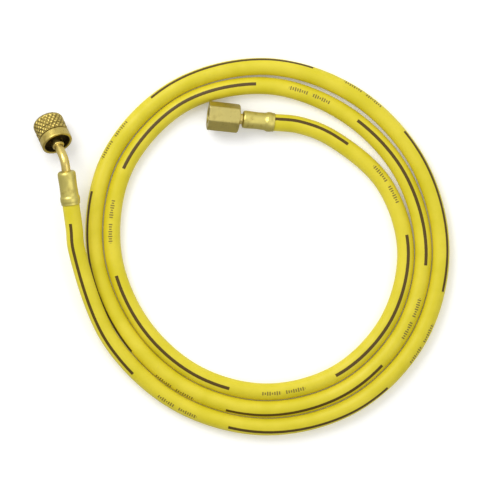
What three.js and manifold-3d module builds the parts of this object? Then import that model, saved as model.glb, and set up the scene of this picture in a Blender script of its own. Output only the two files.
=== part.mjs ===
// A refrigerant charging hose lying in a flat spiral of two and three quarter turns.
// One end has a bent brass fitting with a knurled swivel nut, the other a straight one with a hex nut.
// Millimetres, +Z up, floor at z = 0. Seen from above, +X is right and +Y is up.

import * as THREE from 'three';
import { mergeVertices } from 'three/addons/utils/BufferGeometryUtils.js';
import Module from 'manifold-3d';

const wasm = await Module();
wasm.setup();

// Hose
const HOSE_OD = 10.5;
const HOSE_BORE = 4.8;
const SQUEEZED_HOSE_OD = 8.8;
const HOSE_SIDES = 12;
const HOSE_STEPS = 78;

// Where the middle of the coil lies from the middle of the object's footprint
const COIL_CENTRE = new THREE.Vector3(16.36, -2.06, 0);

// The coil's size, and how much further out than that the hose's centre line lies every 30 degrees,
// anticlockwise from the left side, one row a turn. Each turn lies a hose's width inside the last.
const COIL_RADIUS = 110.0;
const COIL_STEP_DEG = 30;
const COIL_START_DEG = 180;
const COIL_OFFSETS = [
  [7.0, 1.0, -1.3, -1.7, -1.9, -3.1, -4.1, -3.9, -1.7, 2.2, 3.9, 2.1],
  [-3.9, -9.6, -11.9, -12.4, -12.7, -13.8, -14.9, -15.4, -14.2, -9.6, -6.7, -9.0],
  [-14.9, -20.2, -22.5, -23.1, -23.5, -24.6, -25.8, -28.3, -31.2],
];
// Height of the centre line at the first points of the coil, where it comes down from the bent fitting
const COIL_START_HEIGHTS = [16.4, 9.2, 5.7];
// Height at the last point of the coil, where it starts to rise to the straight fitting
const COIL_END_HEIGHT = 5.4;

// Hose ends of the two ferrules: their direction and distance beyond the coil's radius from the middle
// of the coil, their height, and the way each fitting points
const BENT_END = { atDeg: 166.96, offset: 13.7, z: 19.95, headingDeg: 97.9, riseDeg: 8.8 };
const BEND_ROLL_DEG = 20;
const STRAIGHT_END = { atDeg: 87.36, offset: -31.9, z: 7.2, headingDeg: 173.9, riseDeg: 6.3 };
const HEX_ROLL_DEG = 10;
// Straight lengths of hose before the ferrules
const BENT_END_RUN = 15;
const STRAIGHT_END_RUN = 16;

// Ferrules, the crimped sleeves. Lengths are from the hose end.
const BENT_FERRULE = { length: 20.8, bodyOd: 11.2, waistOd: 10.8, beadOd: 12.2, lipOd: 11.6 };
const STRAIGHT_FERRULE = { length: 19.5, bodyOd: 10.9, waistOd: 10.5, beadOd: 12.1, lipOd: 11.5 };
const BELL_DEPTH = 2.2;
const BEAD_START = 1.2;
const BEAD_LENGTH = 4.2;
const FERRULE_FRONT_WALL = 3.0;
const FERRULE_NOSE_ROUND = 2.2;

// Bent tube and straight stem, each with a barbed tail inside the hose
const BENT_TUBE_OD = 5.5;
const STRAIGHT_STEM_OD = 6.6;
const FLUID_BORE = 3.0;
const BARB_OD = 4.2;
const BARB_DEPTH = 0.3;
const BARB_COUNT = 4;
const BARB_CLEAR_OF_END = 2.0;
const TUBE_LEAD = 3.1;
const BEND_RADIUS = 10.0;
const BEND_ANGLE_DEG = 45;
const TUBE_TAIL = 8.5;
const STRAIGHT_NECK = 2.0;

// The collar and flange on a stem that keep its nut on
const COLLAR_OD = 7.4;
// How far the collar stands out behind the knurled nut
const COLLAR_REACH = 2.0;
const FLANGE_OD = 9.2;
const FLANGE_THICKNESS = 2.2;

// Swivel nuts. Lengths are from the back face.
const NUT_WEB = 3.0;
const THREAD_MINOR_OD = 9.9;
const MOUTH_OD = 11.1;
const MOUTH_CHAMFER = 0.6;
const KNURLED_NUT_OD = 19.2;
const KNURLED_NUT_LENGTH = 18.4;
const KNURLED_BACK_ROUND = 0.6;
const KNURLED_MOUTH_ROUND = 2.2;
const RECESS_OD = 16.2;
const RECESS_DEPTH = 4.5;
const GROOVE_STARTS = [5.2, 9.2];
const GROOVE_WIDTH = 0.9;
const GROOVE_DEPTH = 0.7;
const HEX_ACROSS_FLATS = 15.875;
const HEX_NUT_LENGTH = 19.2;
const HEX_BACK_ROUND = 1.7;
const HEX_MOUTH_CHAMFER = 0.5;

// Rubber rings that seal against the mating flare
const GASKET_THICKNESS = 1.8;
const GASKET_BORE = 3.6;

// Clearance between pieces that touch or turn in one another
const FIT_GAP = 0.3;

// Roundness of turned and bent pieces
const TURNED_SIDES = 32;
const TUBE_SIDES = 16;
const TUBE_STEPS = 18;
const CORNER_STEPS = 3;

const HOSE_YELLOW = new THREE.MeshStandardMaterial({ color: 0xe2d23a, roughness: 0.5, metalness: 0.0 });
const BRASS = new THREE.MeshStandardMaterial({ color: 0xc2ad5c, roughness: 0.32, metalness: 1.0 });
const BLACK_RUBBER = new THREE.MeshStandardMaterial({ color: 0x1c1c1c, roughness: 0.8, metalness: 0.0 });

const radians = THREE.MathUtils.degToRad;

// A geometry with only its positions, whose shared corners are one vertex
function welded(geometry) {
  geometry.deleteAttribute('normal');
  geometry.deleteAttribute('uv');
  return mergeVertices(geometry, 1e-4);
}

function toSolid(geometry) {
  const closed = welded(geometry);
  const mesh = new wasm.Mesh({
    numProp: 3,
    vertProperties: new Float32Array(closed.attributes.position.array),
    triVerts: new Uint32Array(closed.index.array),
  });
  return new wasm.Manifold(mesh);
}

function toGeometry(solid) {
  const mesh = solid.getMesh();
  const geometry = new THREE.BufferGeometry();
  geometry.setAttribute('position', new THREE.BufferAttribute(mesh.vertProperties, 3));
  geometry.setIndex(new THREE.BufferAttribute(mesh.triVerts, 1));
  geometry.computeVertexNormals();
  return geometry;
}

// One solid from several geometries, less those that are cut from it
function joinAndCut(geometries, cutters) {
  const whole = geometries.map(toSolid).reduce((sum, solid) => sum.add(solid));
  return toGeometry(cutters.map(toSolid).reduce((rest, solid) => rest.subtract(solid), whole));
}

// [radius, height] points of a round corner, by its centre and the angles that it turns through
function roundCorner(centreRadius, centreHeight, round, fromDeg, toDeg) {
  const points = [];
  for (let i = 0; i <= CORNER_STEPS; i += 1) {
    const angle = radians(fromDeg + (toDeg - fromDeg) * i / CORNER_STEPS);
    points.push([centreRadius + round * Math.cos(angle), centreHeight + round * Math.sin(angle)]);
  }
  return points;
}

// A piece turned about +Z from [radius, height] points, listed up its outside. The outline of a ring
// goes on down its bore and closes on itself, and that of a solid piece starts and ends on the axis.
function turned(outline) {
  const points = outline.map(([radius, height]) => new THREE.Vector2(radius, height));
  if (outline[0][0] > 0) {
    points.push(points[0].clone());
  }
  const geometry = new THREE.LatheGeometry(points, TURNED_SIDES);
  geometry.rotateX(Math.PI / 2);
  return geometry;
}

// A solid rod or disc along +Z between two heights
function rod(diameter, fromHeight, toHeight) {
  return turned([[0, fromHeight], [diameter / 2, fromHeight], [diameter / 2, toHeight], [0, toHeight]]);
}

// A regular polygon with a flat facing +X, by its width across corners
function polygon(acrossCorners, sides) {
  const corners = [];
  for (let i = 0; i < sides; i += 1) {
    const angle = (i + 0.5) * 2 * Math.PI / sides;
    corners.push(new THREE.Vector2(Math.cos(angle), Math.sin(angle)).multiplyScalar(acrossCorners / 2));
  }
  return new THREE.Shape(corners);
}

// The way a fitting points: a heading anticlockwise from +X, and a rise above level
function fittingAxis(end) {
  const level = Math.cos(radians(end.riseDeg));
  return new THREE.Vector3(
    level * Math.cos(radians(end.headingDeg)),
    level * Math.sin(radians(end.headingDeg)),
    Math.sin(radians(end.riseDeg)),
  );
}

// A point by its direction and distance beyond the coil's radius from the middle of the coil, and its height
function pointRoundCoil(atDeg, offset, height) {
  const angle = radians(atDeg);
  const radius = COIL_RADIUS + offset;
  return new THREE.Vector3(radius * Math.cos(angle), radius * Math.sin(angle), height);
}

// A point on a fitting's axis at a distance from its ferrule's hose end, towards the nut
function pointOnAxis(end, distance) {
  const hoseEnd = pointRoundCoil(end.atDeg, end.offset, end.z);
  return hoseEnd.addScaledVector(fittingAxis(end), distance);
}

// A group at a ferrule's hose end, with +Z along the fitting and +X as near to straight down as that allows
function fittingGroup(end) {
  const axis = fittingAxis(end);
  const down = new THREE.Vector3(0, 0, -1).addScaledVector(axis, axis.z).normalize();
  const side = new THREE.Vector3().crossVectors(axis, down);
  const group = new THREE.Group();
  group.quaternion.setFromRotationMatrix(new THREE.Matrix4().makeBasis(down, side, axis));
  group.position.copy(pointOnAxis(end, 0));
  return group;
}

// Route of the hose: out of the bent fitting's ferrule, round the coil, and into the other ferrule
function hoseRoute() {
  const intoBell = BELL_DEPTH - FIT_GAP;
  const route = [pointOnAxis(BENT_END, intoBell), pointOnAxis(BENT_END, -BENT_END_RUN)];
  const offsets = COIL_OFFSETS.flat();
  offsets.forEach((offset, i) => {
    const isLast = i === offsets.length - 1;
    const height = isLast ? COIL_END_HEIGHT : COIL_START_HEIGHTS[i] ?? HOSE_OD / 2;
    route.push(pointRoundCoil(COIL_START_DEG + i * COIL_STEP_DEG, offset, height));
  });
  route.push(pointOnAxis(STRAIGHT_END, -STRAIGHT_END_RUN), pointOnAxis(STRAIGHT_END, intoBell));
  return route;
}

// The curve through the hose's route. Its steps are even in winding angle, so that the flat
// lengths of neighbouring turns lie side by side.
class HosePath extends THREE.CatmullRomCurve3 {
  getUtoTmapping(u) {
    return u;
  }
}

function alongHose(route, diameter) {
  const extrudePath = new HosePath(route, false, 'centripetal');
  return new THREE.ExtrudeGeometry(polygon(diameter, HOSE_SIDES), { steps: HOSE_STEPS, extrudePath });
}

// How far the squeezed end of the hose reaches into a ferrule
function squeezedReach(ferrule) {
  return ferrule.length - FERRULE_FRONT_WALL - FIT_GAP;
}

// A rod inside a ferrule, along its axis from the hose end
function rodInFerrule(end, diameter, reach) {
  const group = fittingGroup(end);
  group.updateMatrix();
  return rod(diameter, 0, reach).applyMatrix4(group.matrix);
}

// The hose: full size between the ferrules, squeezed inside them, with one bore from end to end
function hose() {
  const route = hoseRoute();
  const outside = [
    alongHose(route, HOSE_OD),
    rodInFerrule(BENT_END, SQUEEZED_HOSE_OD, squeezedReach(BENT_FERRULE)),
    rodInFerrule(STRAIGHT_END, SQUEEZED_HOSE_OD, squeezedReach(STRAIGHT_FERRULE)),
  ];
  const bore = [
    alongHose(route, HOSE_BORE),
    rodInFerrule(BENT_END, HOSE_BORE, BENT_FERRULE.length),
    rodInFerrule(STRAIGHT_END, HOSE_BORE, STRAIGHT_FERRULE.length),
  ];
  return joinAndCut(outside, bore);
}

// A crimped sleeve along +Z from its hose end: a short lip, a bead, a slight waist and a round nose
function ferrule({ length, bodyOd, waistOd, beadOd, lipOd }, stemOd) {
  const beadEnd = BEAD_START + BEAD_LENGTH;
  const noseStart = length - FERRULE_NOSE_ROUND;
  const frontWall = length - FERRULE_FRONT_WALL;
  const gripRadius = SQUEEZED_HOSE_OD / 2 + FIT_GAP;
  const stemRadius = stemOd / 2 + FIT_GAP;
  const bellRadius = HOSE_OD / 2 + FIT_GAP;
  return turned([
    [lipOd / 2, 0],
    [lipOd / 2, BEAD_START],
    [beadOd / 2, BEAD_START + BEAD_LENGTH / 4],
    [beadOd / 2, beadEnd - BEAD_LENGTH / 4],
    [bodyOd / 2, beadEnd],
    [waistOd / 2, (beadEnd + noseStart) / 2],
    [bodyOd / 2, noseStart - FERRULE_NOSE_ROUND],
    ...roundCorner(bodyOd / 2 - FERRULE_NOSE_ROUND, noseStart, FERRULE_NOSE_ROUND, 0, 90),
    [stemRadius, length],
    [stemRadius, frontWall],
    [gripRadius, frontWall],
    [gripRadius, BELL_DEPTH],
    [bellRadius, BELL_DEPTH],
    [bellRadius, 0],
  ]);
}

// The barbed tail that grips the hose's bore, along +Z up to the inside of the ferrule's front wall
function barbedTail(frontWall) {
  const pitch = (frontWall - BARB_CLEAR_OF_END) / BARB_COUNT;
  const outline = [[0, BARB_CLEAR_OF_END]];
  for (let i = 0; i < BARB_COUNT; i += 1) {
    const barbStart = BARB_CLEAR_OF_END + i * pitch;
    outline.push([BARB_OD / 2 - BARB_DEPTH, barbStart], [BARB_OD / 2, barbStart + pitch]);
  }
  outline.push([0, frontWall]);
  return turned(outline);
}

// The flange that a nut pulls against, along +Z from the nut's back face
function nutFlange(webEnd) {
  return rod(FLANGE_OD, webEnd + FIT_GAP, flangeFront(webEnd));
}

function flangeFront(webEnd) {
  return webEnd + FIT_GAP + FLANGE_THICKNESS;
}

// Centre line of the bent tube: straight along +Z, round towards +X, and straight again
class BentTubePath extends THREE.Curve {
  constructor(fromHeight, bendHeight, tail) {
    super();
    this.fromHeight = fromHeight;
    this.bendHeight = bendHeight;
    this.bendLength = BEND_RADIUS * radians(BEND_ANGLE_DEG);
    this.length = bendHeight - fromHeight + this.bendLength + tail;
  }

  getPoint(t, target = new THREE.Vector3()) {
    const pastBendStart = this.fromHeight + t * this.length - this.bendHeight;
    if (pastBendStart < 0) {
      return target.set(0, 0, this.bendHeight + pastBendStart);
    }
    const angle = Math.min(pastBendStart, this.bendLength) / BEND_RADIUS;
    const straight = Math.max(pastBendStart - this.bendLength, 0);
    return target.set(
      BEND_RADIUS * (1 - Math.cos(angle)) + straight * Math.sin(angle),
      0,
      this.bendHeight + BEND_RADIUS * Math.sin(angle) + straight * Math.cos(angle),
    );
  }
}

function alongTube(extrudePath, diameter) {
  return new THREE.ExtrudeGeometry(polygon(diameter, TUBE_SIDES), { steps: TUBE_STEPS, extrudePath });
}

const BENT_FRONT_WALL = BENT_FERRULE.length - FERRULE_FRONT_WALL;
const BEND_START = BENT_FERRULE.length + TUBE_LEAD;
const KNURLED_WEB_END = RECESS_DEPTH + NUT_WEB;

// A group at the back face of the knurled nut, with +Z towards its mouth, inside the bent fitting's own
function knurledNutGroup() {
  const group = new THREE.Group();
  new BentTubePath(0, BEND_START, TUBE_TAIL).getPoint(1, group.position);
  group.rotation.y = radians(BEND_ANGLE_DEG);
  return group;
}

// The bent brass tube in one piece with its barbed tail, its collar and its flange
function bentTube() {
  const nutGroup = knurledNutGroup();
  nutGroup.updateMatrix();
  const collarEnd = RECESS_DEPTH - FIT_GAP;
  const collar = rod(COLLAR_OD, -COLLAR_REACH, collarEnd).applyMatrix4(nutGroup.matrix);
  const flange = nutFlange(KNURLED_WEB_END).applyMatrix4(nutGroup.matrix);
  const tail = TUBE_TAIL + flangeFront(KNURLED_WEB_END);
  const tube = alongTube(new BentTubePath(BENT_FRONT_WALL, BEND_START, tail), BENT_TUBE_OD);
  const bore = alongTube(new BentTubePath(0, BEND_START, tail + FIT_GAP), FLUID_BORE);
  return joinAndCut([tube, barbedTail(BENT_FRONT_WALL), collar, flange], [bore]);
}

// The knurled nut along +Z from its back face: a deep recess round the tube, a web that the flange
// pulls against, and the threaded socket. Two grooves part its smooth band from the knurled ones.
function knurledNut() {
  const radius = KNURLED_NUT_OD / 2;
  const mouth = KNURLED_NUT_LENGTH;
  const grooves = GROOVE_STARTS.flatMap((start) => [
    [radius, start],
    [radius - GROOVE_DEPTH, start + GROOVE_WIDTH / 4],
    [radius - GROOVE_DEPTH, start + GROOVE_WIDTH * 3 / 4],
    [radius, start + GROOVE_WIDTH],
  ]);
  const tubeRadius = BENT_TUBE_OD / 2 + FIT_GAP;
  return turned([
    ...roundCorner(radius - KNURLED_BACK_ROUND, KNURLED_BACK_ROUND, KNURLED_BACK_ROUND, -90, 0),
    ...grooves,
    ...roundCorner(radius - KNURLED_MOUTH_ROUND, mouth - KNURLED_MOUTH_ROUND, KNURLED_MOUTH_ROUND, 0, 90),
    [MOUTH_OD / 2, mouth],
    [THREAD_MINOR_OD / 2, mouth - MOUTH_CHAMFER],
    [THREAD_MINOR_OD / 2, KNURLED_WEB_END],
    [tubeRadius, KNURLED_WEB_END],
    [tubeRadius, RECESS_DEPTH],
    [RECESS_OD / 2, RECESS_DEPTH],
    [RECESS_OD / 2, 0],
  ]);
}

// A rubber ring in the nut's socket, against the flange
function gasket(webEnd) {
  const back = flangeFront(webEnd) + FIT_GAP;
  return turned([
    [FLANGE_OD / 2, back],
    [FLANGE_OD / 2, back + GASKET_THICKNESS],
    [GASKET_BORE / 2, back + GASKET_THICKNESS],
    [GASKET_BORE / 2, back],
  ]);
}

const STRAIGHT_FRONT_WALL = STRAIGHT_FERRULE.length - FERRULE_FRONT_WALL;
const HEX_NUT_BACK = STRAIGHT_FERRULE.length + STRAIGHT_NECK;

// The straight brass stem in one piece with its barbed tail and its flange
function straightStem() {
  const flange = nutFlange(NUT_WEB).translate(0, 0, HEX_NUT_BACK);
  const front = HEX_NUT_BACK + flangeFront(NUT_WEB);
  const neck = rod(STRAIGHT_STEM_OD, STRAIGHT_FRONT_WALL, front);
  return joinAndCut([neck, barbedTail(STRAIGHT_FRONT_WALL), flange], [rod(FLUID_BORE, 0, front + FIT_GAP)]);
}

// The hex nut along +Z from its back face, a flat facing +X: round corners at the back, a small
// chamfer at the mouth, a web that the flange pulls against, and the threaded socket
function hexNut() {
  const acrossCorners = HEX_ACROSS_FLATS / Math.cos(Math.PI / 6);
  const mouth = HEX_NUT_LENGTH;
  const prism = new THREE.ExtrudeGeometry(polygon(acrossCorners, 6), { depth: mouth, bevelEnabled: false });
  const reach = acrossCorners / 2 + FIT_GAP;
  const envelope = turned([
    [0, 0],
    ...roundCorner(reach - FIT_GAP - HEX_BACK_ROUND, HEX_BACK_ROUND, HEX_BACK_ROUND, -90, 0),
    [reach, HEX_BACK_ROUND],
    [reach, mouth - HEX_MOUTH_CHAMFER - FIT_GAP],
    [reach - HEX_MOUTH_CHAMFER - FIT_GAP, mouth],
    [0, mouth],
  ]);
  const socket = turned([
    [0, -FIT_GAP],
    [STRAIGHT_STEM_OD / 2 + FIT_GAP, -FIT_GAP],
    [STRAIGHT_STEM_OD / 2 + FIT_GAP, NUT_WEB],
    [THREAD_MINOR_OD / 2, NUT_WEB],
    [THREAD_MINOR_OD / 2, mouth - MOUTH_CHAMFER],
    [MOUTH_OD / 2, mouth],
    [MOUTH_OD / 2, mouth + FIT_GAP],
    [0, mouth + FIT_GAP],
  ]);
  return toGeometry(toSolid(prism).intersect(toSolid(envelope)).subtract(toSolid(socket)));
}

function addPiece(parent, name, geometry, material) {
  const piece = new THREE.Mesh(geometry, material);
  piece.name = name;
  parent.add(piece);
}

const coil = new THREE.Group();
coil.position.copy(COIL_CENTRE);
addPiece(coil, 'hose', hose(), HOSE_YELLOW);

const bentFitting = fittingGroup(BENT_END);
bentFitting.rotateZ(radians(BEND_ROLL_DEG));
addPiece(bentFitting, 'ferrule_bent_end', ferrule(BENT_FERRULE, BENT_TUBE_OD), BRASS);
addPiece(bentFitting, 'bent_tube', bentTube(), BRASS);
const knurledEnd = knurledNutGroup();
addPiece(knurledEnd, 'knurled_nut', knurledNut(), BRASS);
addPiece(knurledEnd, 'gasket_bent_end', gasket(KNURLED_WEB_END), BLACK_RUBBER);
bentFitting.add(knurledEnd);
coil.add(bentFitting);

const straightFitting = fittingGroup(STRAIGHT_END);
addPiece(straightFitting, 'ferrule_straight_end', ferrule(STRAIGHT_FERRULE, STRAIGHT_STEM_OD), BRASS);
addPiece(straightFitting, 'straight_stem', straightStem(), BRASS);
const hexEnd = new THREE.Group();
hexEnd.position.z = HEX_NUT_BACK;
hexEnd.rotation.z = radians(HEX_ROLL_DEG);
addPiece(hexEnd, 'hex_nut', hexNut(), BRASS);
addPiece(hexEnd, 'gasket_straight_end', gasket(NUT_WEB), BLACK_RUBBER);
straightFitting.add(hexEnd);
coil.add(straightFitting);

const part = new THREE.Group();
part.add(coil);

export default part;
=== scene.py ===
# A yellow refrigerant charging hose, lying in a flat coil with a brass fitting on each end.
# Sizes are in millimetres, as in the solids, and become metres as each mesh or material is made. The
# floor and the lights are in metres. +Z is up.

import bpy
import numpy as np
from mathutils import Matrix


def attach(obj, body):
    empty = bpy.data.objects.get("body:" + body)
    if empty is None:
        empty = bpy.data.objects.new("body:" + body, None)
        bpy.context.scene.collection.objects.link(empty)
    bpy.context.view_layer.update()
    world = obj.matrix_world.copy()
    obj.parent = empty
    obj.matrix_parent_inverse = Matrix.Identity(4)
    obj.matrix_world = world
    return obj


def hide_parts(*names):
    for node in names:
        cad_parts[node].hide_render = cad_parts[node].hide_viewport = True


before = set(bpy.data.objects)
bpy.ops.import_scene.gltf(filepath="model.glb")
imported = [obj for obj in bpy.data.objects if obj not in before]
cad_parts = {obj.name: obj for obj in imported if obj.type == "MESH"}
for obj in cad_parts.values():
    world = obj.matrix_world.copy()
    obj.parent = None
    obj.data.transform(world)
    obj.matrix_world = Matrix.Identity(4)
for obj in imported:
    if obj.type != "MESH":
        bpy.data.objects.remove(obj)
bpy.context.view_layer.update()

MM = 0.001

# Clearance between pieces that don't touch
FIT_GAP = 0.3

# Hose
HOSE_OD = 10.5
HOSE_BORE = 4.8
SQUEEZED_HOSE_OD = 8.8
SQUEEZE_LENGTH = 0.6
HOSE_RING_STEP = 1.6
HOSE_COLUMNS = 32
BORE_RING_STRIDE = 4
ROUTE_STEPS = 120
RINGS_IN_FERRULE = 8

# Where the middle of the coil lies, from the middle of the object's footprint
COIL_CENTRE = np.array([16.36, -2.06, 0.0])

# The coil's size, and how much further out than that the hose's centre line lies every 30 degrees,
# anticlockwise from the left side, one row a turn
COIL_RADIUS = 110.0
COIL_STEP_DEG = 30
COIL_START_DEG = 180
COIL_OFFSETS = [
    [7.0, 1.0, -1.3, -1.7, -1.9, -3.1, -4.1, -3.9, -1.7, 2.2, 3.9, 2.1],
    [-3.9, -9.6, -11.9, -12.4, -12.7, -13.8, -14.9, -15.4, -14.2, -9.6, -6.7, -9.0],
    [-14.9, -20.2, -22.5, -23.1, -23.5, -24.6, -25.8, -28.3, -31.2],
]
# Height of the centre line where the coil comes down from the bent fitting, and at its last point
COIL_START_HEIGHTS = [16.4, 9.2, 5.7]
COIL_END_HEIGHT = 5.4

# Hose ends of the two ferrules: their direction and distance beyond the coil's radius from the middle
# of the coil, their height, and the way each fitting points
BENT_END = dict(at_deg=166.96, offset=13.7, height=19.95, heading_deg=97.9, rise_deg=8.8)
STRAIGHT_END = dict(at_deg=87.36, offset=-31.9, height=7.2, heading_deg=173.9, rise_deg=6.3)
BEND_ROLL_DEG = 20
HEX_ROLL_DEG = 10
BENT_END_RUN = 15
STRAIGHT_END_RUN = 16

# Where the printed stripe runs: length along the hose, and turn from the top towards the coil's outside
STRIPE_ROLL = np.array([
    (0, 22), (13, 22), (115, 31), (182, 36), (283, 54), (350, 47), (450, 52), (517, 61),
    (616, 47), (682, 47), (783, 59), (850, 48), (951, 31), (1017, 19), (1118, 10), (1185, 11),
    (1285, 6), (1352, 11), (1453, 13), (1520, 10), (1622, 19), (1689, 26), (1740, 25),
])
# The stripe's dashes, how far their edges stray, and where they fade beyond half the width and at the ends
STRIPE_FIRST = 13.2
STRIPE_PITCH = 167.45
STRIPE_LENGTH = 101.0
STRIPE_WIDTH = 2.0
STRIPE_STRAY = 0.25
STRIPE_EDGE_FADE = (0.25, 0.05)
STRIPE_END_FADE = 0.2

# Two groups of plain marks in each gap. A mark fades between two distances from its middle, in
# pitches, and its half height is a share of MARKS_HEIGHT: the least one, and what is added at random.
MARKS_START = 120.8
MARKS_LENGTH = 26.7
MARKS_HALF_SPLIT = 1.4
MARKS_HEIGHT = 2.5
MARK_LEAST = 0.26
MARK_ADDED = 0.28
MARK_PITCH = 1.45
MARK_FADE = (0.34, 0.24)

# Ferrules, the crimped sleeves. Lengths are from the hose end. The crimp's flats deepen over CRIMP_RUN
# at both ends, and the sine that shapes them is raised to CRIMP_SHARPNESS.
BENT_FERRULE = dict(length=20.8, body_od=11.2, waist_od=10.8, bead_od=12.2, lip_od=11.6)
STRAIGHT_FERRULE = dict(length=19.5, body_od=10.9, waist_od=10.5, bead_od=12.1, lip_od=11.5)
BELL_DEPTH = 2.2
BEAD_START = 1.2
BEAD_LENGTH = 4.2
FERRULE_FRONT_WALL = 3.0
FERRULE_NOSE_ROUND = 2.2
CRIMP_SEGMENTS = 8
CRIMP_DEPTH = 0.09
CRIMP_RUN = 2
CRIMP_SHARPNESS = 0.6

# Bent tube and straight stem, each with a barbed tail inside the hose
BENT_TUBE_OD = 5.5
STRAIGHT_STEM_OD = 6.6
FLUID_BORE = 3.0
BARB_OD = 4.2
BARB_DEPTH = 0.3
BARB_COUNT = 4
BARB_CLEAR_OF_END = 2.0
TUBE_LEAD = 3.1
BEND_RADIUS = 10.0
BEND_ANGLE_DEG = 45
TUBE_TAIL = 8.5
STRAIGHT_NECK = 2.0
COLLAR_OD = 7.4
COLLAR_REACH = 2.0
FLANGE_OD = 9.2
FLANGE_THICKNESS = 2.2

# Swivel nuts. Lengths are from the back face. The thread's triangle wave is steepened by THREAD_SLOPE
# and lowered by THREAD_LAND, and MOUTH_LAND of the chamfer's length is left without it.
NUT_WEB = 3.0
THREAD_MINOR_OD = 9.9
MOUTH_OD = 11.1
MOUTH_CHAMFER = 0.6
THREAD_PITCH = 1.27
THREAD_DEPTH = 0.6
THREAD_RUN_OUT = 1.3
THREAD_SLOPE = 1.25
THREAD_LAND = 0.1
MOUTH_LAND = 0.6
KNURLED_NUT_OD = 19.2
KNURLED_NUT_LENGTH = 18.4
KNURLED_BACK_ROUND = 0.6
KNURLED_MOUTH_ROUND = 2.2
RECESS_OD = 16.2
RECESS_DEPTH = 4.5
GROOVE_STARTS = (5.2, 9.2)
GROOVE_WIDTH = 0.9
GROOVE_DEPTH = 0.7
KNURL_START = GROOVE_STARTS[0] + GROOVE_WIDTH
KNURL_END = 16.3
KNURL_RUN_IN = 0.15
KNURL_RUN_OUT = 0.3
KNURL_COUNT = 21
KNURL_PITCH = 3.3
KNURL_DEPTH = 0.55
KNURL_SLOPE = 1.7
FINE_PAST_KNURL = 0.5
HEX_ACROSS_FLATS = 15.875
HEX_NUT_LENGTH = 19.2
HEX_BACK_ROUND = 1.7
HEX_MOUTH_CHAMFER = 0.5
HEX_CORNER_LOSS = 0.2

# Painted shade on the knurled nut, darkening its cuts, its recess and the shoulder at its mouth, 0 none to
# 1 black, and the length of its recess that is left without it
CUT_PAINTED_SHADE = 0.8
RECESS_PAINTED_SHADE = 0.9
SHOULDER_PAINTED_SHADE = 0.45
UNSHADED_RIM = 0.8

# Rubber rings that seal against the mating flare
GASKET_THICKNESS = 1.8
GASKET_BORE = 3.6

# Lengths from a ferrule's hose end to its nut's back, and from the knurled nut's back to its socket
BENT_NUT_BACK = BENT_FERRULE["length"] + TUBE_LEAD + BEND_RADIUS * np.radians(BEND_ANGLE_DEG) + TUBE_TAIL
STRAIGHT_NUT_BACK = STRAIGHT_FERRULE["length"] + STRAIGHT_NECK
KNURLED_WEB_END = RECESS_DEPTH + NUT_WEB

# Corners of an outline: how far the rounding reaches where none is given, how much of a side two
# corners may take up, and how many times a round's radius it reaches on the three large rounds
PLAIN_REACH = 0.12
SHARED_SIDE = 0.9
NOSE_REACH = 1.3
MOUTH_REACH = 1.2
BACK_REACH = 1.35

# Fineness of the turned pieces
CORNER_POINTS = 6
COARSE_STEP = 0.45
FINE_STEP = 0.2
TURNED_COLUMNS = 96
NUT_COLUMNS = 336
GASKET_COLUMNS = 64

# How near a point lies to the radius of the surface that it belongs to
ON_SURFACE = 0.05

# Camera: the photo is 306 mm across at the height of the hose, seen from straight above
VIEW_WIDTH = 306.0
VIEW_CENTRE = (5.33, -2.1)
LENS = 1200.0
SENSOR = 36.0
CAMERA_REACH = 100

# The studio's light: its strength runs from one value to the other over a span of the way's Z, and a
# share of that over a span of its Y
SKY_SPAN = (-0.1, 1.0)
SKY_LOW = 0.62
SKY_HIGH = 0.82
SIDE_SPAN = (-0.7, 0.5)
NEAR_SIDE = 0.60
FAR_SIDE = 1.15

# The floor's half side in metres, its two near whites, and a glow that brings it up to the photo's white
FLOOR_HALF = 20.0
FLOOR_DULL = (0.93, 0.93, 0.93, 1)
FLOOR_CLEAR = (0.95, 0.95, 0.95, 1)
FLOOR_GLOW = 0.13

# Colours of the hose, and how far the scuffs, marks and stripe cover what is under them
YELLOW_PALE = (0.72, 0.605, 0.032, 1)
YELLOW_DEEP = (0.64, 0.545, 0.013, 1)
SCUFF = (0.58, 0.49, 0.05, 1)
MARK_INK = (0.17, 0.12, 0.02, 1)
STRIPE_INK = (0.064, 0.030, 0.001, 1)
SCUFF_COVER = 0.5
MARK_COVER = 0.9
STRIPE_COVER = 0.97
HOSE_ROUGHNESS = (0.42, 0.54)

# Each brass: its colours, its roughness, the noise at which tarnish starts and the strength of its
# turning marks
FERRULE_FINISH = dict(
    clean=(0.72, 0.62, 0.175, 1), tarnished=(0.40, 0.31, 0.07, 1),
    roughness=0.40, tarnish_from=0.52, lines=0.25,
)
TUBE_FINISH = dict(
    clean=(0.80, 0.63, 0.19, 1), tarnished=(0.52, 0.38, 0.09, 1),
    roughness=0.26, tarnish_from=0.56, lines=0.15,
)
KNURLED_FINISH = dict(
    clean=(0.69, 0.54, 0.145, 1), tarnished=(0.36, 0.26, 0.06, 1),
    roughness=0.30, tarnish_from=0.46, lines=0.35,
)
HEX_FINISH = dict(
    clean=(0.59, 0.50, 0.165, 1), tarnished=(0.42, 0.34, 0.10, 1),
    roughness=0.36, tarnish_from=0.50, lines=0.3,
)

# What all brass shares: how fast tarnish sets in and how far it covers, its pits, how far the roughness
# varies, and the colour and roughness of the painted shade on the knurled nut
TARNISH_SPAN = 0.25
TARNISH_COVER = 0.75
PIT_SPAN = (0.66, 0.76)
PIT_COVER = 0.6
PIT_COLOUR = (0.16, 0.10, 0.04, 1)
SMOOTHER_BY = 0.05
ROUGHER_BY = 0.12
# The dark colour and dull roughness of the painted shade on the knurled nut
PAINTED_SHADE_COLOUR = (0.030, 0.018, 0.010, 1)
PAINTED_SHADE_ROUGHNESS = (0.7, 0.7, 0.7, 1)

SEAL_BLACK = (0.012, 0.012, 0.012, 1)
SEAL_DUST = (0.04, 0.04, 0.038, 1)

# The span that most of a noise's values lie in
NOISE_SPAN = (0.3, 0.7)


# Camera, floor and light

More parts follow.
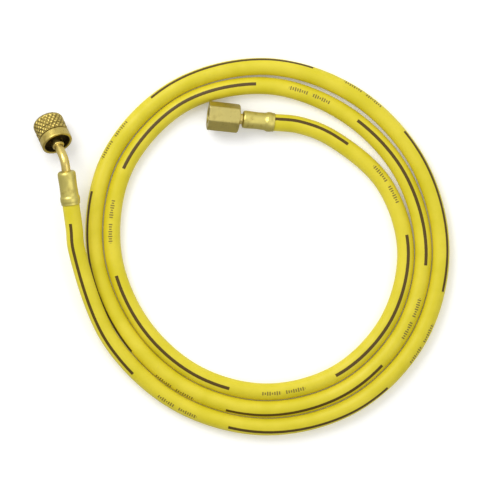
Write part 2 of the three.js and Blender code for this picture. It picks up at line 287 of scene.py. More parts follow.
def camera():
    """Looks straight down from the height at which the lens takes in the view's width."""
    data = bpy.data.cameras.new("camera")
    data.lens = LENS
    data.sensor_width = SENSOR
    data.clip_end = CAMERA_REACH
    thing = bpy.data.objects.new("camera", data)
    height = VIEW_WIDTH * LENS / SENSOR + HOSE_OD / 2
    thing.location = (VIEW_CENTRE[0] * MM, VIEW_CENTRE[1] * MM, height * MM)
    bpy.context.scene.collection.objects.link(thing)
    bpy.context.scene.camera = thing


def area_light(name, place, size, watts):
    """A square soft white light, facing the origin."""
    data = bpy.data.lights.new(name, "AREA")
    data.size = size
    data.energy = watts
    thing = bpy.data.objects.new(name, data)
    thing.location = place
    thing.rotation_euler = (-thing.location).to_track_quat("-Z", "Y").to_euler()
    bpy.context.scene.collection.objects.link(thing)


def studio_world():
    """A plain studio: brightest overhead, dimmer at the horizon, and dimmer on the side towards -Y.

    Its strength is a share by the height of the way times a share by its Y.
    """
    world = bpy.data.worlds.new("studio")
    world.use_nodes = True
    tree = world.node_tree
    way = tree.nodes.new("ShaderNodeSeparateXYZ")
    tree.links.new(tree.nodes.new("ShaderNodeTexCoord").outputs["Generated"], way.inputs[0])
    strength = tree.nodes.new("ShaderNodeMath")
    strength.operation = "MULTIPLY"
    shares = {"Z": (*SKY_SPAN, SKY_LOW, SKY_HIGH), "Y": (*SIDE_SPAN, NEAR_SIDE, FAR_SIDE)}
    for factor, (axis, span) in zip(strength.inputs, shares.items()):
        share = tree.nodes.new("ShaderNodeMapRange")
        for socket, value in zip(share.inputs[1:5], span):
            socket.default_value = value
        tree.links.new(way.outputs[axis], share.inputs["Value"])
        tree.links.new(share.outputs["Result"], factor)
    tree.links.new(strength.outputs[0], tree.nodes["Background"].inputs["Strength"])
    tree.nodes["Background"].inputs["Color"].default_value = (1.0, 1.0, 1.0, 1)
    bpy.context.scene.world = world


camera()
area_light("upper_left_light", place=(-0.75, 0.85, 1.35), size=1.0, watts=15)
area_light("lower_right_light", place=(0.9, -0.5, 1.4), size=1.2, watts=4.5)
studio_world()
bpy.context.scene.view_settings.view_transform = "Standard"


# Materials

class Shades:
    """A material under construction: short ways to add nodes to it and to wire them."""

    def __init__(self, name, **plain):
        self.material = bpy.data.materials.new(name)
        self.material.use_nodes = True
        self.tree = self.material.node_tree
        self.shader = self.tree.nodes["Principled BSDF"]
        for socket, value in plain.items():
            self.shader.inputs[socket.replace("_", " ")].default_value = value

    def add(self, kind, inputs=(), **settings):
        """A new shader node of this kind, with its settings and inputs."""
        node = self.tree.nodes.new("ShaderNode" + kind)
        for key, value in settings.items():
            setattr(node, key, value)
        for key, value in dict(inputs).items():
            self.feed(node.inputs[key], value)
        return node

    def feed(self, socket, value):
        """Wires another node's output into the socket, or sets its plain value."""
        if isinstance(value, bpy.types.NodeSocket):
            self.tree.links.new(value, socket)
        else:
            socket.default_value = value

    def maths(self, operation, *values):
        """The result of one operation on numbers."""
        node = self.add("Math", operation=operation)
        for socket, value in zip(node.inputs, values):
            self.feed(socket, value)
        return node.outputs[0]

    def place(self):
        """Where a point is on the piece, in metres."""
        return self.add("TexCoord").outputs["Object"]

    def surface(self):
        """The piece's own UV map: metres along it in X, and metres round it in Y."""
        return self.add("UVMap", uv_map="along").outputs[0]

    def drawn_out(self, along, around):
        """Noise with these scales along the piece and round it, so that it forms lines."""
        scaled = self.add("Mapping", {"Vector": self.surface(), "Scale": (along, around, 1.0)}).outputs[0]
        return self.noise(scaled, scale=1.0, detail=2.0)

    def noise(self, vector, scale, detail=3.0):
        """Cloudy noise from 0 to 1, mostly near 0.5."""
        return self.add("TexNoise", {"Vector": vector, "Scale": scale, "Detail": detail}).outputs["Fac"]

    def ramp(self, value, low, high, to_low=0.0, to_high=1.0):
        """The value's way from low to high, smoothed, as a number from to_low to to_high."""
        return self.add("MapRange", {
            "Value": value, "From Min": low, "From Max": high, "To Min": to_low, "To Max": to_high,
        }, interpolation_type="SMOOTHSTEP").outputs["Result"]

    def blend(self, share, first, second):
        """The first colour where the share is 0, the second where it is 1."""
        return self.add("Mix", {0: share, 6: first, 7: second}, data_type="RGBA").outputs[2]

    def bump(self, height, strength, distance):
        """Tilts the surface's normal by the height, from 0 to 1, over the distance in metres."""
        normal = self.add("Bump", {"Strength": strength, "Distance": distance, "Height": height})
        self.feed(self.shader.inputs["Normal"], normal.outputs[0])


def hose_rubber():
    """Satin yellow cover with a broken stripe and rows of plain marks in its gaps.

    The stripe shows where the length past the first one, modulo the pitch, is under the stripe's
    length, and the distance from its line is under half its width. Marks stand in the gaps.
    """
    made = Shades("hose_rubber", Specular_IOR_Level=0.35)
    parts = made.add("SeparateXYZ", {"Vector": made.surface()})
    along, across = parts.outputs["X"], made.maths("ABSOLUTE", parts.outputs["Y"])
    past_first = made.maths("SUBTRACT", along, STRIPE_FIRST * MM)
    past = made.maths("FLOORED_MODULO", past_first, STRIPE_PITCH * MM)
    ragged = made.maths("MULTIPLY", made.noise(made.place(), scale=900.0), STRIPE_STRAY * MM)
    edge = made.maths("ADD", across, ragged)
    half = STRIPE_WIDTH / 2 * MM
    edge_low, edge_high = STRIPE_EDGE_FADE
    stripe = made.maths(
        "MULTIPLY",
        made.ramp(edge, half + edge_low * MM, half + edge_high * MM),
        made.ramp(past, (STRIPE_LENGTH + STRIPE_END_FADE) * MM, (STRIPE_LENGTH - STRIPE_END_FADE) * MM),
    )

    into_marks = made.maths("SUBTRACT", past, MARKS_START * MM)
    inside = made.maths(
        "MULTIPLY",
        made.maths("GREATER_THAN", into_marks, 0.0),
        made.maths("LESS_THAN", into_marks, MARKS_LENGTH * MM),
    )
    from_middle = made.maths("ABSOLUTE", made.maths("SUBTRACT", into_marks, MARKS_LENGTH / 2 * MM))
    in_group = made.maths("GREATER_THAN", from_middle, MARKS_HALF_SPLIT * MM)
    counted = made.maths("DIVIDE", into_marks, MARK_PITCH * MM)
    off_mark = made.maths("ABSOLUTE", made.maths("SUBTRACT", made.maths("FRACT", counted), 0.5))
    tick = made.ramp(off_mark, *MARK_FADE)
    own = made.add("TexWhiteNoise", {"W": made.maths("FLOOR", counted)}, noise_dimensions="1D")
    added, least = MARKS_HEIGHT * MARK_ADDED * MM, MARKS_HEIGHT * MARK_LEAST * MM
    half_height = made.maths("MULTIPLY_ADD", own.outputs["Value"], added, least)
    marks = made.maths(
        "MULTIPLY",
        made.maths("MULTIPLY", inside, in_group),
        made.maths("MULTIPLY", tick, made.maths("LESS_THAN", across, half_height)),
    )

    mottle = made.noise(made.place(), scale=55.0, detail=4.0)
    grain = made.noise(made.place(), scale=700.0, detail=2.0)
    yellow = made.blend(made.ramp(mottle, *NOISE_SPAN), YELLOW_PALE, YELLOW_DEEP)
    scuffed = made.blend(made.ramp(grain, 0.60, 0.80, 0.0, SCUFF_COVER), yellow, SCUFF)
    printed = made.blend(made.maths("MULTIPLY", marks, MARK_COVER), scuffed, MARK_INK)
    striped = made.blend(made.maths("MULTIPLY", stripe, STRIPE_COVER), printed, STRIPE_INK)
    made.feed(made.shader.inputs["Base Color"], striped)
    made.feed(made.shader.inputs["Roughness"], made.ramp(mottle, *NOISE_SPAN, *HOSE_ROUGHNESS))

    drawn = made.drawn_out(along=60.0, around=2600.0)
    height = made.maths("ADD", made.maths("MULTIPLY", drawn, 0.6), made.maths("MULTIPLY", grain, 0.4))
    made.bump(height, strength=0.2, distance=0.0002)
    return made.material


def brass(name, clean, tarnished, roughness, tarnish_from, lines):
    """Brass with cloudy tarnish, fine turning marks round the piece and small pits.

    Tarnish and pits follow two scales of noise. Turning marks are noise of the length along the piece.
    """
    made = Shades(name, Metallic=1.0, Roughness=roughness)
    place = made.place()
    cloud = made.noise(place, scale=190.0, detail=5.0)
    speck = made.noise(place, scale=900.0, detail=3.0)
    share = made.ramp(cloud, tarnish_from, tarnish_from + TARNISH_SPAN, 0.0, TARNISH_COVER)
    stained = made.blend(share, clean, tarnished)
    pits = made.ramp(speck, *PIT_SPAN, 0.0, PIT_COVER)
    rough = made.ramp(cloud, *NOISE_SPAN, roughness - SMOOTHER_BY, roughness + ROUGHER_BY)
    made.feed(made.shader.inputs["Base Color"], made.blend(pits, stained, PIT_COLOUR))
    made.feed(made.shader.inputs["Roughness"], rough)
    turned = made.drawn_out(along=9000.0, around=12.0)
    height = made.maths("ADD", turned, made.maths("MULTIPLY", speck, 0.8))
    made.bump(height, strength=lines, distance=0.00008)
    return made


def knurled_brass():
    """The knurled nut's brass, under dark dull painted shade as far as the mesh's own attribute for it
    says.

    The roughness is blended as a grey colour, whose brightness is the number.
    """
    made = brass("knurled_nut_brass", **KNURLED_FINISH)
    painted_shade = made.add("Attribute", attribute_name="painted_shade").outputs["Fac"]
    for name, shade_look in (("Base Color", PAINTED_SHADE_COLOUR), ("Roughness", PAINTED_SHADE_ROUGHNESS)):
        socket = made.shader.inputs[name]
        made.feed(socket, made.blend(painted_shade, socket.links[0].from_socket, shade_look))
    return made


def seal_rubber():
    """Matte black rubber with a fine grain and a little dust."""
    made = Shades("seal_rubber", Roughness=0.75)
    grain = made.noise(made.place(), scale=800.0)
    made.feed(made.shader.inputs["Base Color"], made.blend(grain, SEAL_BLACK, SEAL_DUST))
    made.bump(grain, strength=0.3, distance=0.0001)
    return made.material


def floor_white():
    """Pale matte floor with a barely seen cloud in it, glowing a little."""
    made = Shades("floor_white", Roughness=0.7, Emission_Color=(1, 1, 1, 1), Emission_Strength=FLOOR_GLOW)
    cloud = made.noise(made.place(), scale=3.0)
    made.feed(made.shader.inputs["Base Color"], made.blend(cloud, FLOOR_DULL, FLOOR_CLEAR))
    return made.material


HOSE_RUBBER = hose_rubber()
FERRULE_BRASS = brass("ferrule_brass", **FERRULE_FINISH).material
TUBE_BRASS = brass("tube_brass", **TUBE_FINISH).material
KNURLED_BRASS = knurled_brass().material
HEX_BRASS = brass("hex_nut_brass", **HEX_FINISH).material
SEAL_RUBBER = seal_rubber()


def floor():
    """One large level square at height 0."""
    corners = [(x * FLOOR_HALF, y * FLOOR_HALF, 0) for x, y in ((-1, -1), (1, -1), (1, 1), (-1, 1))]
    mesh = bpy.data.meshes.new("floor")
    mesh.from_pydata(corners, [], [(0, 1, 2, 3)])
    mesh.materials.append(floor_white())
    thing = bpy.data.objects.new("floor", mesh)
    bpy.context.scene.collection.objects.link(thing)
    thing.visible_glossy = False


floor()


# Meshes: each piece is a closed grid of points, whose rows run up its outside and back down its bore

def ring_piece(name, grid, uv, material, slot, body, node, painted_shade=None):
    """A closed surface from a grid of points: [i, j] joins [i + 1, j] and [i, j + 1], both wrapping.

    uv is the pair of lengths along the rows and round the columns, one longer than the grid each
    way, so that no face spans the jump where they wrap.
    """
    rows, columns = grid.shape[:2]
    i, j = (index.ravel() for index in np.indices((rows, columns)))
    corners = [(i, j), (i, j + 1), (i + 1, j + 1), (i + 1, j)]
    faces = np.stack([(a % rows) * columns + b % columns for a, b in corners], axis=-1)
    mesh = bpy.data.meshes.new(name)
    mesh.from_pydata((grid * MM).reshape(-1, 3).tolist(), [], faces.tolist())
    mesh.polygons.foreach_set("use_smooth", np.ones(len(faces), dtype=bool))
    along, around = uv
    spread = np.stack([np.stack([along[a], around[b]], axis=-1) for a, b in corners], axis=1) * MM
    mesh.uv_layers.new(name="along").data.foreach_set("uv", spread.astype(np.float32).ravel())
    # The share of painted shade at each point, which the material blends towards a dark colour
    if painted_shade is not None:
        layer = mesh.attributes.new("painted_shade", "FLOAT", "POINT")
        layer.data.foreach_set("value", painted_shade.astype(np.float32).ravel())
    mesh.materials.append(material)
    mesh.update()
    piece = bpy.data.objects.new(name, mesh)
    bpy.context.scene.collection.objects.link(piece)
    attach(piece, body)
    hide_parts(node)
    return piece


def unit(vectors):
    """Each vector over its own length."""
    return vectors / np.linalg.norm(vectors, axis=-1, keepdims=True)


def shift(x, y, z):
    """A move along the axes, as a 4 by 4 matrix."""
    place = np.eye(4)
    place[:3, 3] = x, y, z
    return place


def turn(axis, degrees):
    """A turn about one of the axes 0, 1, 2, anticlockwise seen from its far end."""
    a, b = (axis + 1) % 3, (axis + 2) % 3
    angle = np.radians(degrees)
    place = np.eye(4)
    place[[a, b], [a, b]] = np.cos(angle)
    place[b, a] = np.sin(angle)
    place[a, b] = -np.sin(angle)
    return place


def moved(points, place):
    """The points turned and then shifted by a 4 by 4 matrix."""
    return points @ place[:3, :3].T + place[:3, 3]


def round_coil(at_deg, offset, height):
    """Points by their direction and distance beyond the coil's radius from its middle, and height."""
    angle, radius = np.radians(at_deg), COIL_RADIUS + np.asarray(offset)
    from_centre = [radius * np.cos(angle), radius * np.sin(angle), height + 0 * radius]
    return COIL_CENTRE + np.stack(from_centre, axis=-1)


def hose_end(end):
    """The middle of a ferrule's hose end."""
    return round_coil(end["at_deg"], end["offset"], end["height"])


def fitting_axis(end):
    """The way a fitting points, from its heading round +Z and its rise above the level."""
    heading, rise = np.radians(end["heading_deg"]), np.radians(end["rise_deg"])
    return np.array([np.cos(rise) * np.cos(heading), np.cos(rise) * np.sin(heading), np.sin(rise)])


def fitting_place(end):
    """At the ferrule's hose end, with +Z along the fitting and +X as near to straight down as it goes."""
    axis = fitting_axis(end)
    down = unit(axis * axis[2] - (0, 0, 1))
    place = np.eye(4)
    place[:3, :3] = np.stack([down, np.cross(axis, down), axis], axis=-1)
    place[:3, 3] = hose_end(end)
    return place


# Hose

def smooth_line(knots, steps):
    """A smooth line through the knots: between two of them a cubic, whose slope at each is that of the
    parabola through it and its two neighbours, where two knots are the root of their distance apart.
    """
    ends = [2 * knots[:1] - knots[1:2], knots, 2 * knots[-1:] - knots[-2:-1]]
    padded = np.concatenate(ends)
    spans = len(knots) - 1
    at = np.linspace(0, spans, spans * steps + 1)
    span = np.minimum(at.astype(int), spans - 1)
    way = (at - span)[:, None]
    before, start, end, after = (padded[span + k] for k in range(4))

    def spacing(a, b):
        return np.sqrt(np.linalg.norm(a - b, axis=1))[:, None]

    first, middle, last = spacing(before, start), spacing(start, end), spacing(end, after)
    slope_start = (start - before) / first - (end - before) / (first + middle) + (end - start) / middle
    slope_end = (end - start) / middle - (after - start) / (middle + last) + (after - end) / last
    slope_start, slope_end = slope_start * middle, slope_end * middle
    square = 3 * (end - start) - 2 * slope_start - slope_end
    cube = 2 * (start - end) + slope_start + slope_end
    return start + way * (slope_start + way * (square + way * cube))


def hose_route():
    """Knots of the centre line: out of the bent fitting's ferrule, round the coil, into the other."""
    into_bell = BELL_DEPTH - FIT_GAP
    offsets = np.concatenate(COIL_OFFSETS)
    heights = np.full(len(offsets), HOSE_OD / 2)
    heights[:len(COIL_START_HEIGHTS)] = COIL_START_HEIGHTS
    heights[-1] = COIL_END_HEIGHT
    coil = round_coil(COIL_START_DEG + COIL_STEP_DEG * np.arange(len(offsets)), offsets, heights)
    bent, straight = fitting_axis(BENT_END), fitting_axis(STRAIGHT_END)
    return np.concatenate([
        [hose_end(BENT_END) + into_bell * bent, hose_end(BENT_END) - BENT_END_RUN * bent],
        coil,
        [hose_end(STRAIGHT_END) - STRAIGHT_END_RUN * straight],
        [hose_end(STRAIGHT_END) + into_bell * straight],
    ])


def hose_line():
    """Points even steps apart along the hose, with the straight ends inside the ferrules added.

    Returns the points and their lengths past the bent ferrule's bell, below 0 inside the ferrule.
    """
    fine = smooth_line(hose_route(), ROUTE_STEPS)
    length = np.concatenate([[0], np.cumsum(np.linalg.norm(np.diff(fine, axis=0), axis=1))])
    even = np.linspace(0, length[-1], round(length[-1] / HOSE_RING_STEP) + 1)
    points = np.stack([np.interp(even, length, fine[:, k]) for k in range(3)], axis=-1)

    def inside(ferrule, end):
        """How deep past the bell each ring lies, and its way from the hose's point there."""
        reach = ferrule["length"] - FERRULE_FRONT_WALL - FIT_GAP - (BELL_DEPTH - FIT_GAP)
        evenly = np.linspace(SQUEEZE_LENGTH + 1, reach, RINGS_IN_FERRULE)
        deep = np.array([SQUEEZE_LENGTH / 2, SQUEEZE_LENGTH, *evenly])
        return deep, deep[:, None] * fitting_axis(end)

    bent_deep, bent_on = inside(BENT_FERRULE, BENT_END)
    straight_deep, straight_on = inside(STRAIGHT_FERRULE, STRAIGHT_END)
    line = np.concatenate([(points[0] + bent_on)[::-1], points, points[-1] + straight_on])
    return line, np.concatenate([-bent_deep[::-1], even, even[-1] + straight_deep])


def hose(line, length):
    """Rings about the centre line, cos(turn) up and sin(turn) outwards, out along the outside and
    back along the bore. The radius falls from full to squeezed just inside each ferrule's bell.
    """
    ahead = unit(np.gradient(line, axis=0))
    outwards = unit(np.cross(ahead, (0, 0, 1)))
    up = np.cross(outwards, ahead)
    roll = np.radians(np.interp(length, STRIPE_ROLL[:, 0], STRIPE_ROLL[:, 1]))
    end = length[-1] - (STRAIGHT_FERRULE["length"] - FERRULE_FRONT_WALL - BELL_DEPTH)
    past_bell = np.maximum(-length, length - end)
    squeeze = np.clip((past_bell + SQUEEZE_LENGTH) / SQUEEZE_LENGTH, 0, 1)
    outside = HOSE_OD / 2 - (HOSE_OD - SQUEEZED_HOSE_OD) / 2 * squeeze
    out = np.arange(len(line))
    back = np.unique(np.append(out[::BORE_RING_STRIDE], out[-1]))[::-1]
    rows = np.concatenate([out, back])
    radius = np.concatenate([outside, np.full(len(back), HOSE_BORE / 2)])
    turned = np.linspace(-np.pi, np.pi, HOSE_COLUMNS, endpoint=False)
    angle = roll[rows][:, None] + turned
    rise, reach = np.cos(angle)[..., None], np.sin(angle)[..., None]
    ring = rise * up[rows][:, None] + reach * outwards[rows][:, None]
    grid = line[rows][:, None] + radius[:, None, None] * ring
    along = np.append(length[rows], length[0])
    around = np.linspace(-np.pi, np.pi, HOSE_COLUMNS + 1) * HOSE_OD / 2
    finish = dict(material=HOSE_RUBBER, slot="hose", body="hose_and_stems", node="hose")
    return ring_piece("charging_hose", grid, (along, around), **finish)


hose_centres, hose_lengths = hose_line()
charging_hose = hose(hose_centres, hose_lengths)


# Turned pieces

def outline_of(*corners):
    """A closed outline from corners of length, radius and how far the rounding reaches from it.

    Each corner is a parabola between the ends of its reach. Two reaches that would meet share the side
    between them in proportion.
    """
    points = np.array([corner[:2] for corner in corners], dtype=float)
    reach = np.array([corner[2] if len(corner) > 2 else PLAIN_REACH for corner in corners], dtype=float)
    before = np.roll(points, 1, axis=0) - points
    after = np.roll(points, -1, axis=0) - points
    long_before = np.linalg.norm(before, axis=1)
    long_after = np.linalg.norm(after, axis=1)
    share_after = np.minimum(1, SHARED_SIDE * long_after / (reach + np.roll(reach, -1)))
    reach = (reach * np.minimum(share_after, np.roll(share_after, 1)))[:, None]
    start = points + before / long_before[:, None] * reach
    end = points + after / long_after[:, None] * reach
    way = np.linspace(0, 1, CORNER_POINTS)[None, :, None]
    left = 1 - way
    curve = left ** 2 * start[:, None] + 2 * way * left * points[:, None] + way ** 2 * end[:, None]
    return curve.reshape(-1, 2)


def refined(outline, fine=lambda length, radius: False):
    """The closed outline with each side cut into equal steps, shorter where fine(length, radius)."""
    sides = np.roll(outline, -1, axis=0) - outline
    middle = outline + sides / 2
    step = np.where(fine(middle[:, 0], middle[:, 1]), FINE_STEP, COARSE_STEP)
    counts = np.maximum(np.ceil(np.linalg.norm(sides, axis=1) / step), 1).astype(int)
    side = np.repeat(np.arange(len(outline)), counts)
    nth = np.arange(counts.sum()) - np.repeat(np.cumsum(counts) - counts, counts)
    return outline[side] + sides[side] * (nth / counts[side])[:, None]


def straight_line(length):
    """The middle line of a straight piece: up +Z, with +X and +Y across it."""
    centre = np.stack([0 * length, 0 * length, length], axis=-1)
    return centre, np.array([1.0, 0, 0]), np.array([0, 1.0, 0])


def tube_line(length):
    """The middle line of the bent tube: up +Z, round an arc towards +X, and straight again."""
    past = length - (BENT_FERRULE["length"] + TUBE_LEAD)
    bend_length = BEND_RADIUS * np.radians(BEND_ANGLE_DEG)
    angle = np.clip(past, 0, bend_length) / BEND_RADIUS
    beyond = np.maximum(past - bend_length, 0)
    x = BEND_RADIUS * (1 - np.cos(angle)) + beyond * np.sin(angle)
    z = BEND_RADIUS * np.sin(angle) + beyond * np.cos(angle) + length - np.maximum(past, 0)
    centre = np.stack([x, 0 * x, z], axis=-1)
    across = np.stack([np.cos(angle), 0 * angle, -np.sin(angle)], axis=-1)
    return centre, across[:, None], np.array([0, 1.0, 0])


def swept(name, outline, place, finish, columns=TURNED_COLUMNS, line=straight_line, shape=None):
    """The outline turned about a middle line: centre + radius (cos(angle) X + sin(angle) Y).

    shape(length, radius, angle) gives the radius and the share of painted shade where the piece isn't
    round.
    """
    length, radius = outline[:, :1], outline[:, 1:]
    angle = np.linspace(0, 2 * np.pi, columns, endpoint=False)[None]
    painted_shade = None
    if shape is None:
        radius = np.broadcast_to(radius, (len(outline), columns))
    else:
        radius, painted_shade = shape(length, radius, angle)
    centre, x, y = line(outline[:, 0])
    ring = np.cos(angle)[..., None] * x + np.sin(angle)[..., None] * y
    grid = moved(centre[:, None] + radius[..., None] * ring, place)
    steps = np.linalg.norm(np.roll(outline, -1, axis=0) - outline, axis=1)
    along = np.concatenate([[0], np.cumsum(steps)])
    around = np.linspace(0, 2 * np.pi, columns + 1) * outline[:, 1].max()
    return ring_piece(name, grid, (along, around), painted_shade=painted_shade, **finish)


def ferrule(name, sizes, stem_od, place, node):
    """A crimped sleeve: lip, round bead, waist and round nose, with shallow flats pressed round it."""
    length, body = sizes["length"], sizes["body_od"] / 2
    bead_end = BEAD_START + BEAD_LENGTH
    nose = length - FERRULE_NOSE_ROUND
    wall = length - FERRULE_FRONT_WALL
    grip = SQUEEZED_HOSE_OD / 2 + FIT_GAP
    outline = refined(outline_of(
        (0, sizes["lip_od"] / 2, 0.25),
        (BEAD_START, sizes["lip_od"] / 2, 0.3),
        (BEAD_START + BEAD_LENGTH / 4, sizes["bead_od"] / 2, 0.6),
        (bead_end - BEAD_LENGTH / 4, sizes["bead_od"] / 2, 0.7),
        (bead_end, body, 0.7),
        ((bead_end + nose) / 2, sizes["waist_od"] / 2, 3.0),
        (nose - FERRULE_NOSE_ROUND, body, 1.2),
        (length, body, FERRULE_NOSE_ROUND * NOSE_REACH),
        (length, stem_od / 2 + FIT_GAP, 0.15),
        (wall, stem_od / 2 + FIT_GAP),
        (wall, grip),
        (BELL_DEPTH, grip),
        (BELL_DEPTH, HOSE_OD / 2 + FIT_GAP),
        (0, HOSE_OD / 2 + FIT_GAP, 0.1),
    ))

    def crimped(at, radius, angle):
        """Pressed in most where the sine of the turn, taken CRIMP_SEGMENTS / 2 times over, is 0."""
        window = np.clip((at - bead_end) / CRIMP_RUN, 0, 1) * np.clip((nose - at) / CRIMP_RUN, 0, 1)
        outside = radius > grip + FIT_GAP
        left_high = np.abs(np.sin(angle * CRIMP_SEGMENTS / 2)) ** CRIMP_SHARPNESS
        return radius - CRIMP_DEPTH * window * outside * (1 - left_high), None

    finish = dict(material=FERRULE_BRASS, slot="ferrule_brass", body="hose_and_stems", node=node)
    return swept(name, outline, place, finish, shape=crimped)


def barbs(wall):
    """Corners of the barbed tail, from its end up to the inside of the ferrule's front wall."""
    pitch = (wall - BARB_CLEAR_OF_END) / BARB_COUNT
    starts = BARB_CLEAR_OF_END + pitch * np.arange(BARB_COUNT)
    low, high = BARB_OD / 2 - BARB_DEPTH, BARB_OD / 2
    return [corner for start in starts for corner in ((start, low), (start + pitch, high))]


def flange(web_end):
    """The back and front of the flange that a nut pulls against, and the corners of it and of the bore."""
    back = web_end + FIT_GAP
    front = back + FLANGE_THICKNESS
    rim = FLANGE_OD / 2
    return back, front, [(back, rim, 0.25), (front, rim, 0.25), (front, FLUID_BORE / 2)]


def bent_tube(place):
    """The bent brass tube with its barbed tail, collar and flange, swept along its own bend."""
    wall = BENT_FERRULE["length"] - FERRULE_FRONT_WALL
    tube = BENT_TUBE_OD / 2
    collar_start = BENT_NUT_BACK - COLLAR_REACH
    collar_end = BENT_NUT_BACK + RECESS_DEPTH - FIT_GAP
    flange_back, _, end_corners = flange(BENT_NUT_BACK + RECESS_DEPTH + NUT_WEB)
    outline = refined(outline_of(
        (BARB_CLEAR_OF_END, FLUID_BORE / 2),
        *barbs(wall),
        (wall, tube),
        (collar_start, tube, 0.3),
        (collar_start, COLLAR_OD / 2, 0.5),
        (collar_end, COLLAR_OD / 2, 0.3),
        (collar_end, tube),
        (flange_back, tube),
        *end_corners,
    ))
    finish = dict(material=TUBE_BRASS, slot="tube_brass", body="hose_and_stems", node="bent_tube")
    return swept("bent_brass_tube", outline, place, finish, line=tube_line)


def straight_stem(place):
    """The straight brass stem with its barbed tail and flange."""
    wall = STRAIGHT_FERRULE["length"] - FERRULE_FRONT_WALL
    flange_back, _, end_corners = flange(STRAIGHT_NUT_BACK + NUT_WEB)
    outline = refined(outline_of(
        (BARB_CLEAR_OF_END, FLUID_BORE / 2),
        *barbs(wall),
        (wall, STRAIGHT_STEM_OD / 2),
        (flange_back, STRAIGHT_STEM_OD / 2),
        *end_corners,
    ))
    finish = dict(material=TUBE_BRASS, slot="tube_brass", body="hose_and_stems", node="straight_stem")
    return swept("straight_brass_stem", outline, place, finish)


def gasket(name, web_end, place, node):
    """A round-edged rubber ring in a nut's socket, against the flange."""
    back = flange(web_end)[1] + FIT_GAP
    front = back + GASKET_THICKNESS
    outline = refined(outline_of(
        (back, FLANGE_OD / 2, 0.4),
        (front, FLANGE_OD / 2, 0.4),
        (front, GASKET_BORE / 2, 0.3),
        (back, GASKET_BORE / 2, 0.3),
    ))
    finish = dict(material=SEAL_RUBBER, slot="gasket_rubber", body="hose_and_stems", node=node)
    return swept(name, outline, place, finish, columns=GASKET_COLUMNS)


def triangle_wave(turns):
    """0 at each whole number, 1 half way between."""
    return 1 - 2 * np.abs(turns % 1 - 0.5)


def threaded(at, radius, angle, start, mouth):
    """The socket's wall with a right-hand thread cut outwards: deepest half way round each pitch."""
    from_mouth = (mouth - at) / MOUTH_CHAMFER
    depth = np.clip((at - start) / THREAD_RUN_OUT, 0, 1) * np.clip(from_mouth - MOUTH_LAND, 0, 1)
    wall = np.abs(radius - THREAD_MINOR_OD / 2) < ON_SURFACE
    turns = at / THREAD_PITCH - angle / (2 * np.pi)
    wave = np.clip(triangle_wave(turns) * THREAD_SLOPE - THREAD_LAND, 0, 1)
    return radius + THREAD_DEPTH * depth * wall * wave


def on_thread(at, radius, start):
    """Whether a side of a nut's outline is in its threaded socket."""
    return (np.abs(radius - THREAD_MINOR_OD / 2) < 2 * ON_SURFACE) & (at > start)


def knurled_nut(place):
    """The knurled swivel nut: a recess round the tube, two grooves, and diamonds between two sets of
    helical cuts, whose height is how far a point is from the nearer cut of either set.
    """
    radius, mouth = KNURLED_NUT_OD / 2, KNURLED_NUT_LENGTH
    grooves = [
        corner
        for start in GROOVE_STARTS
        for corner in (
            (start, radius, 0.15),
            (start + GROOVE_WIDTH / 4, radius - GROOVE_DEPTH, 0.15),
            (start + GROOVE_WIDTH * 3 / 4, radius - GROOVE_DEPTH, 0.15),
            (start + GROOVE_WIDTH, radius, 0.15),
        )
    ]

    def fine(at, r):
        """Fine steps on the knurl and in the socket."""
        knurl = (r > radius - 1) & (at > KNURL_START) & (at < KNURL_END + FINE_PAST_KNURL)
        return knurl | on_thread(at, r, KNURLED_WEB_END)

    outline = refined(outline_of(
        (0, radius, KNURLED_BACK_ROUND),
        *grooves,
        (mouth, radius, KNURLED_MOUTH_ROUND * MOUTH_REACH),
        (mouth, MOUTH_OD / 2, 0.1),
        (mouth - MOUTH_CHAMFER, THREAD_MINOR_OD / 2, 0.1),
        (KNURLED_WEB_END, THREAD_MINOR_OD / 2),
        (KNURLED_WEB_END, BENT_TUBE_OD / 2 + FIT_GAP),
        (RECESS_DEPTH, BENT_TUBE_OD / 2 + FIT_GAP),
        (RECESS_DEPTH, RECESS_OD / 2, 0.4),
        (0, RECESS_OD / 2, 0.35),
    ), fine)

    def shape(at, r, angle):
        """The cut diamonds and the thread, and painted shade darkening the cuts, the recess and the
        shoulder.
        """
        outside = r > radius - GROOVE_DEPTH - ON_SURFACE
        run_in = np.clip((at - KNURL_START) / KNURL_RUN_IN, 0, 1)
        run_out = np.clip((KNURL_END - at) / KNURL_RUN_OUT, 0, 1)
        window = outside * run_in * run_out
        count = angle * KNURL_COUNT / (2 * np.pi)
        level = (at - (KNURL_START + GROOVE_STARTS[1]) / 2) / KNURL_PITCH + 0.5
        peak = np.minimum(triangle_wave(count + level), triangle_wave(count - level))
        cut = window * KNURL_DEPTH * (1 - np.clip(peak * KNURL_SLOPE, 0, 1))
        lowered = np.minimum(r, np.where(window > 0, radius - cut, r))

        # Painted shade: darkest at the bottom of the cuts and grooves, over the recess past its rim, and
        # on the shoulder at the mouth
        low = np.clip((radius - lowered) / GROOVE_DEPTH, 0, 1)
        band = outside & (at > KNURLED_BACK_ROUND) & (at < KNURL_END + FINE_PAST_KNURL)
        recess = (at > UNSHADED_RIM) & (at < KNURLED_WEB_END) & (r < RECESS_OD / 2 + 0.01)
        shoulder = np.clip(at - KNURL_END, 0, 1) * (r > MOUTH_OD / 2)
        painted_shade = np.maximum(recess * RECESS_PAINTED_SHADE, shoulder * SHOULDER_PAINTED_SHADE)
        painted_shade = np.maximum(low * band * CUT_PAINTED_SHADE, painted_shade)
        return threaded(at, lowered, angle, KNURLED_WEB_END, mouth), painted_shade

    finish = dict(material=KNURLED_BRASS, slot="nut_brass", body="knurled_nut", node="knurled_nut")
    return swept("knurled_swivel_nut", outline, place, finish, columns=NUT_COLUMNS, shape=shape)


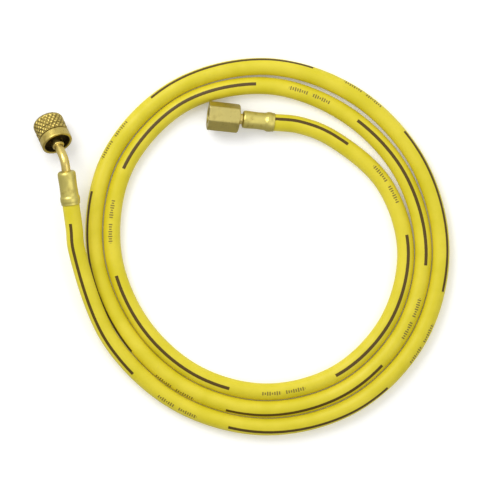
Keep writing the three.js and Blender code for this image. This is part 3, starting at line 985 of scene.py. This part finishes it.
def hex_nut(place):
    """The hex swivel nut: the radius is the lesser of a hexagon's, flat / cos(angle from the middle of
    the flat), and that of a round envelope, which rounds its back corners and chamfers its mouth.
    """
    flat = HEX_ACROSS_FLATS / 2
    corner = flat / np.cos(np.pi / 6)
    mouth = HEX_NUT_LENGTH
    face = corner - HEX_MOUTH_CHAMFER
    stem = STRAIGHT_STEM_OD / 2 + FIT_GAP
    outline = refined(outline_of(
        (0, corner, HEX_BACK_ROUND * BACK_REACH),
        (mouth - HEX_MOUTH_CHAMFER - FIT_GAP, corner + FIT_GAP, 0.1),
        (mouth, face, 0.1),
        (mouth, MOUTH_OD / 2, 0.1),
        (mouth - MOUTH_CHAMFER, THREAD_MINOR_OD / 2, 0.1),
        (NUT_WEB, THREAD_MINOR_OD / 2),
        (NUT_WEB, stem),
        (0, stem, 0.2),
    ), lambda at, r: on_thread(at, r, NUT_WEB))

    def shape(at, r, angle):
        """The hexagon, squeezed in step with the radius over the mouth's face, and the thread."""
        from_flat = (angle + np.pi / 6) % (np.pi / 3) - np.pi / 6
        hexagon = np.minimum(flat / np.cos(from_flat), corner - HEX_CORNER_LOSS)
        on_face = (at > mouth - 0.01) & (r > MOUTH_OD / 2)
        share = (r - MOUTH_OD / 2) / (face - MOUTH_OD / 2)
        on_mouth = MOUTH_OD / 2 + share * (np.minimum(face, hexagon) - MOUTH_OD / 2)
        lessened = np.where(on_face, on_mouth, np.minimum(r, hexagon))
        return threaded(at, lessened, angle, NUT_WEB, mouth), None

    finish = dict(material=HEX_BRASS, slot="nut_brass", body="hex_nut", node="hex_nut")
    return swept("hex_swivel_nut", outline, place, finish, columns=NUT_COLUMNS, shape=shape)


bent_place = fitting_place(BENT_END) @ turn(2, BEND_ROLL_DEG)
nut_centre, _, _ = tube_line(np.array([BENT_NUT_BACK]))
knurled_place = bent_place @ shift(*nut_centre[0]) @ turn(1, BEND_ANGLE_DEG)
straight_place = fitting_place(STRAIGHT_END)
hex_place = straight_place @ shift(0, 0, STRAIGHT_NUT_BACK) @ turn(2, HEX_ROLL_DEG)

ferrule("bent_end_ferrule", BENT_FERRULE, BENT_TUBE_OD, bent_place, "ferrule_bent_end")
bent_tube(bent_place)
knurled_nut(knurled_place)
gasket("bent_end_gasket", KNURLED_WEB_END, knurled_place, "gasket_bent_end")
far_pieces = [
    ferrule(
        "straight_end_ferrule", STRAIGHT_FERRULE, STRAIGHT_STEM_OD, straight_place, "ferrule_straight_end",
    ),
    straight_stem(straight_place),
    hex_nut(hex_place),
    gasket("straight_end_gasket", NUT_WEB, hex_place, "gasket_straight_end"),
]
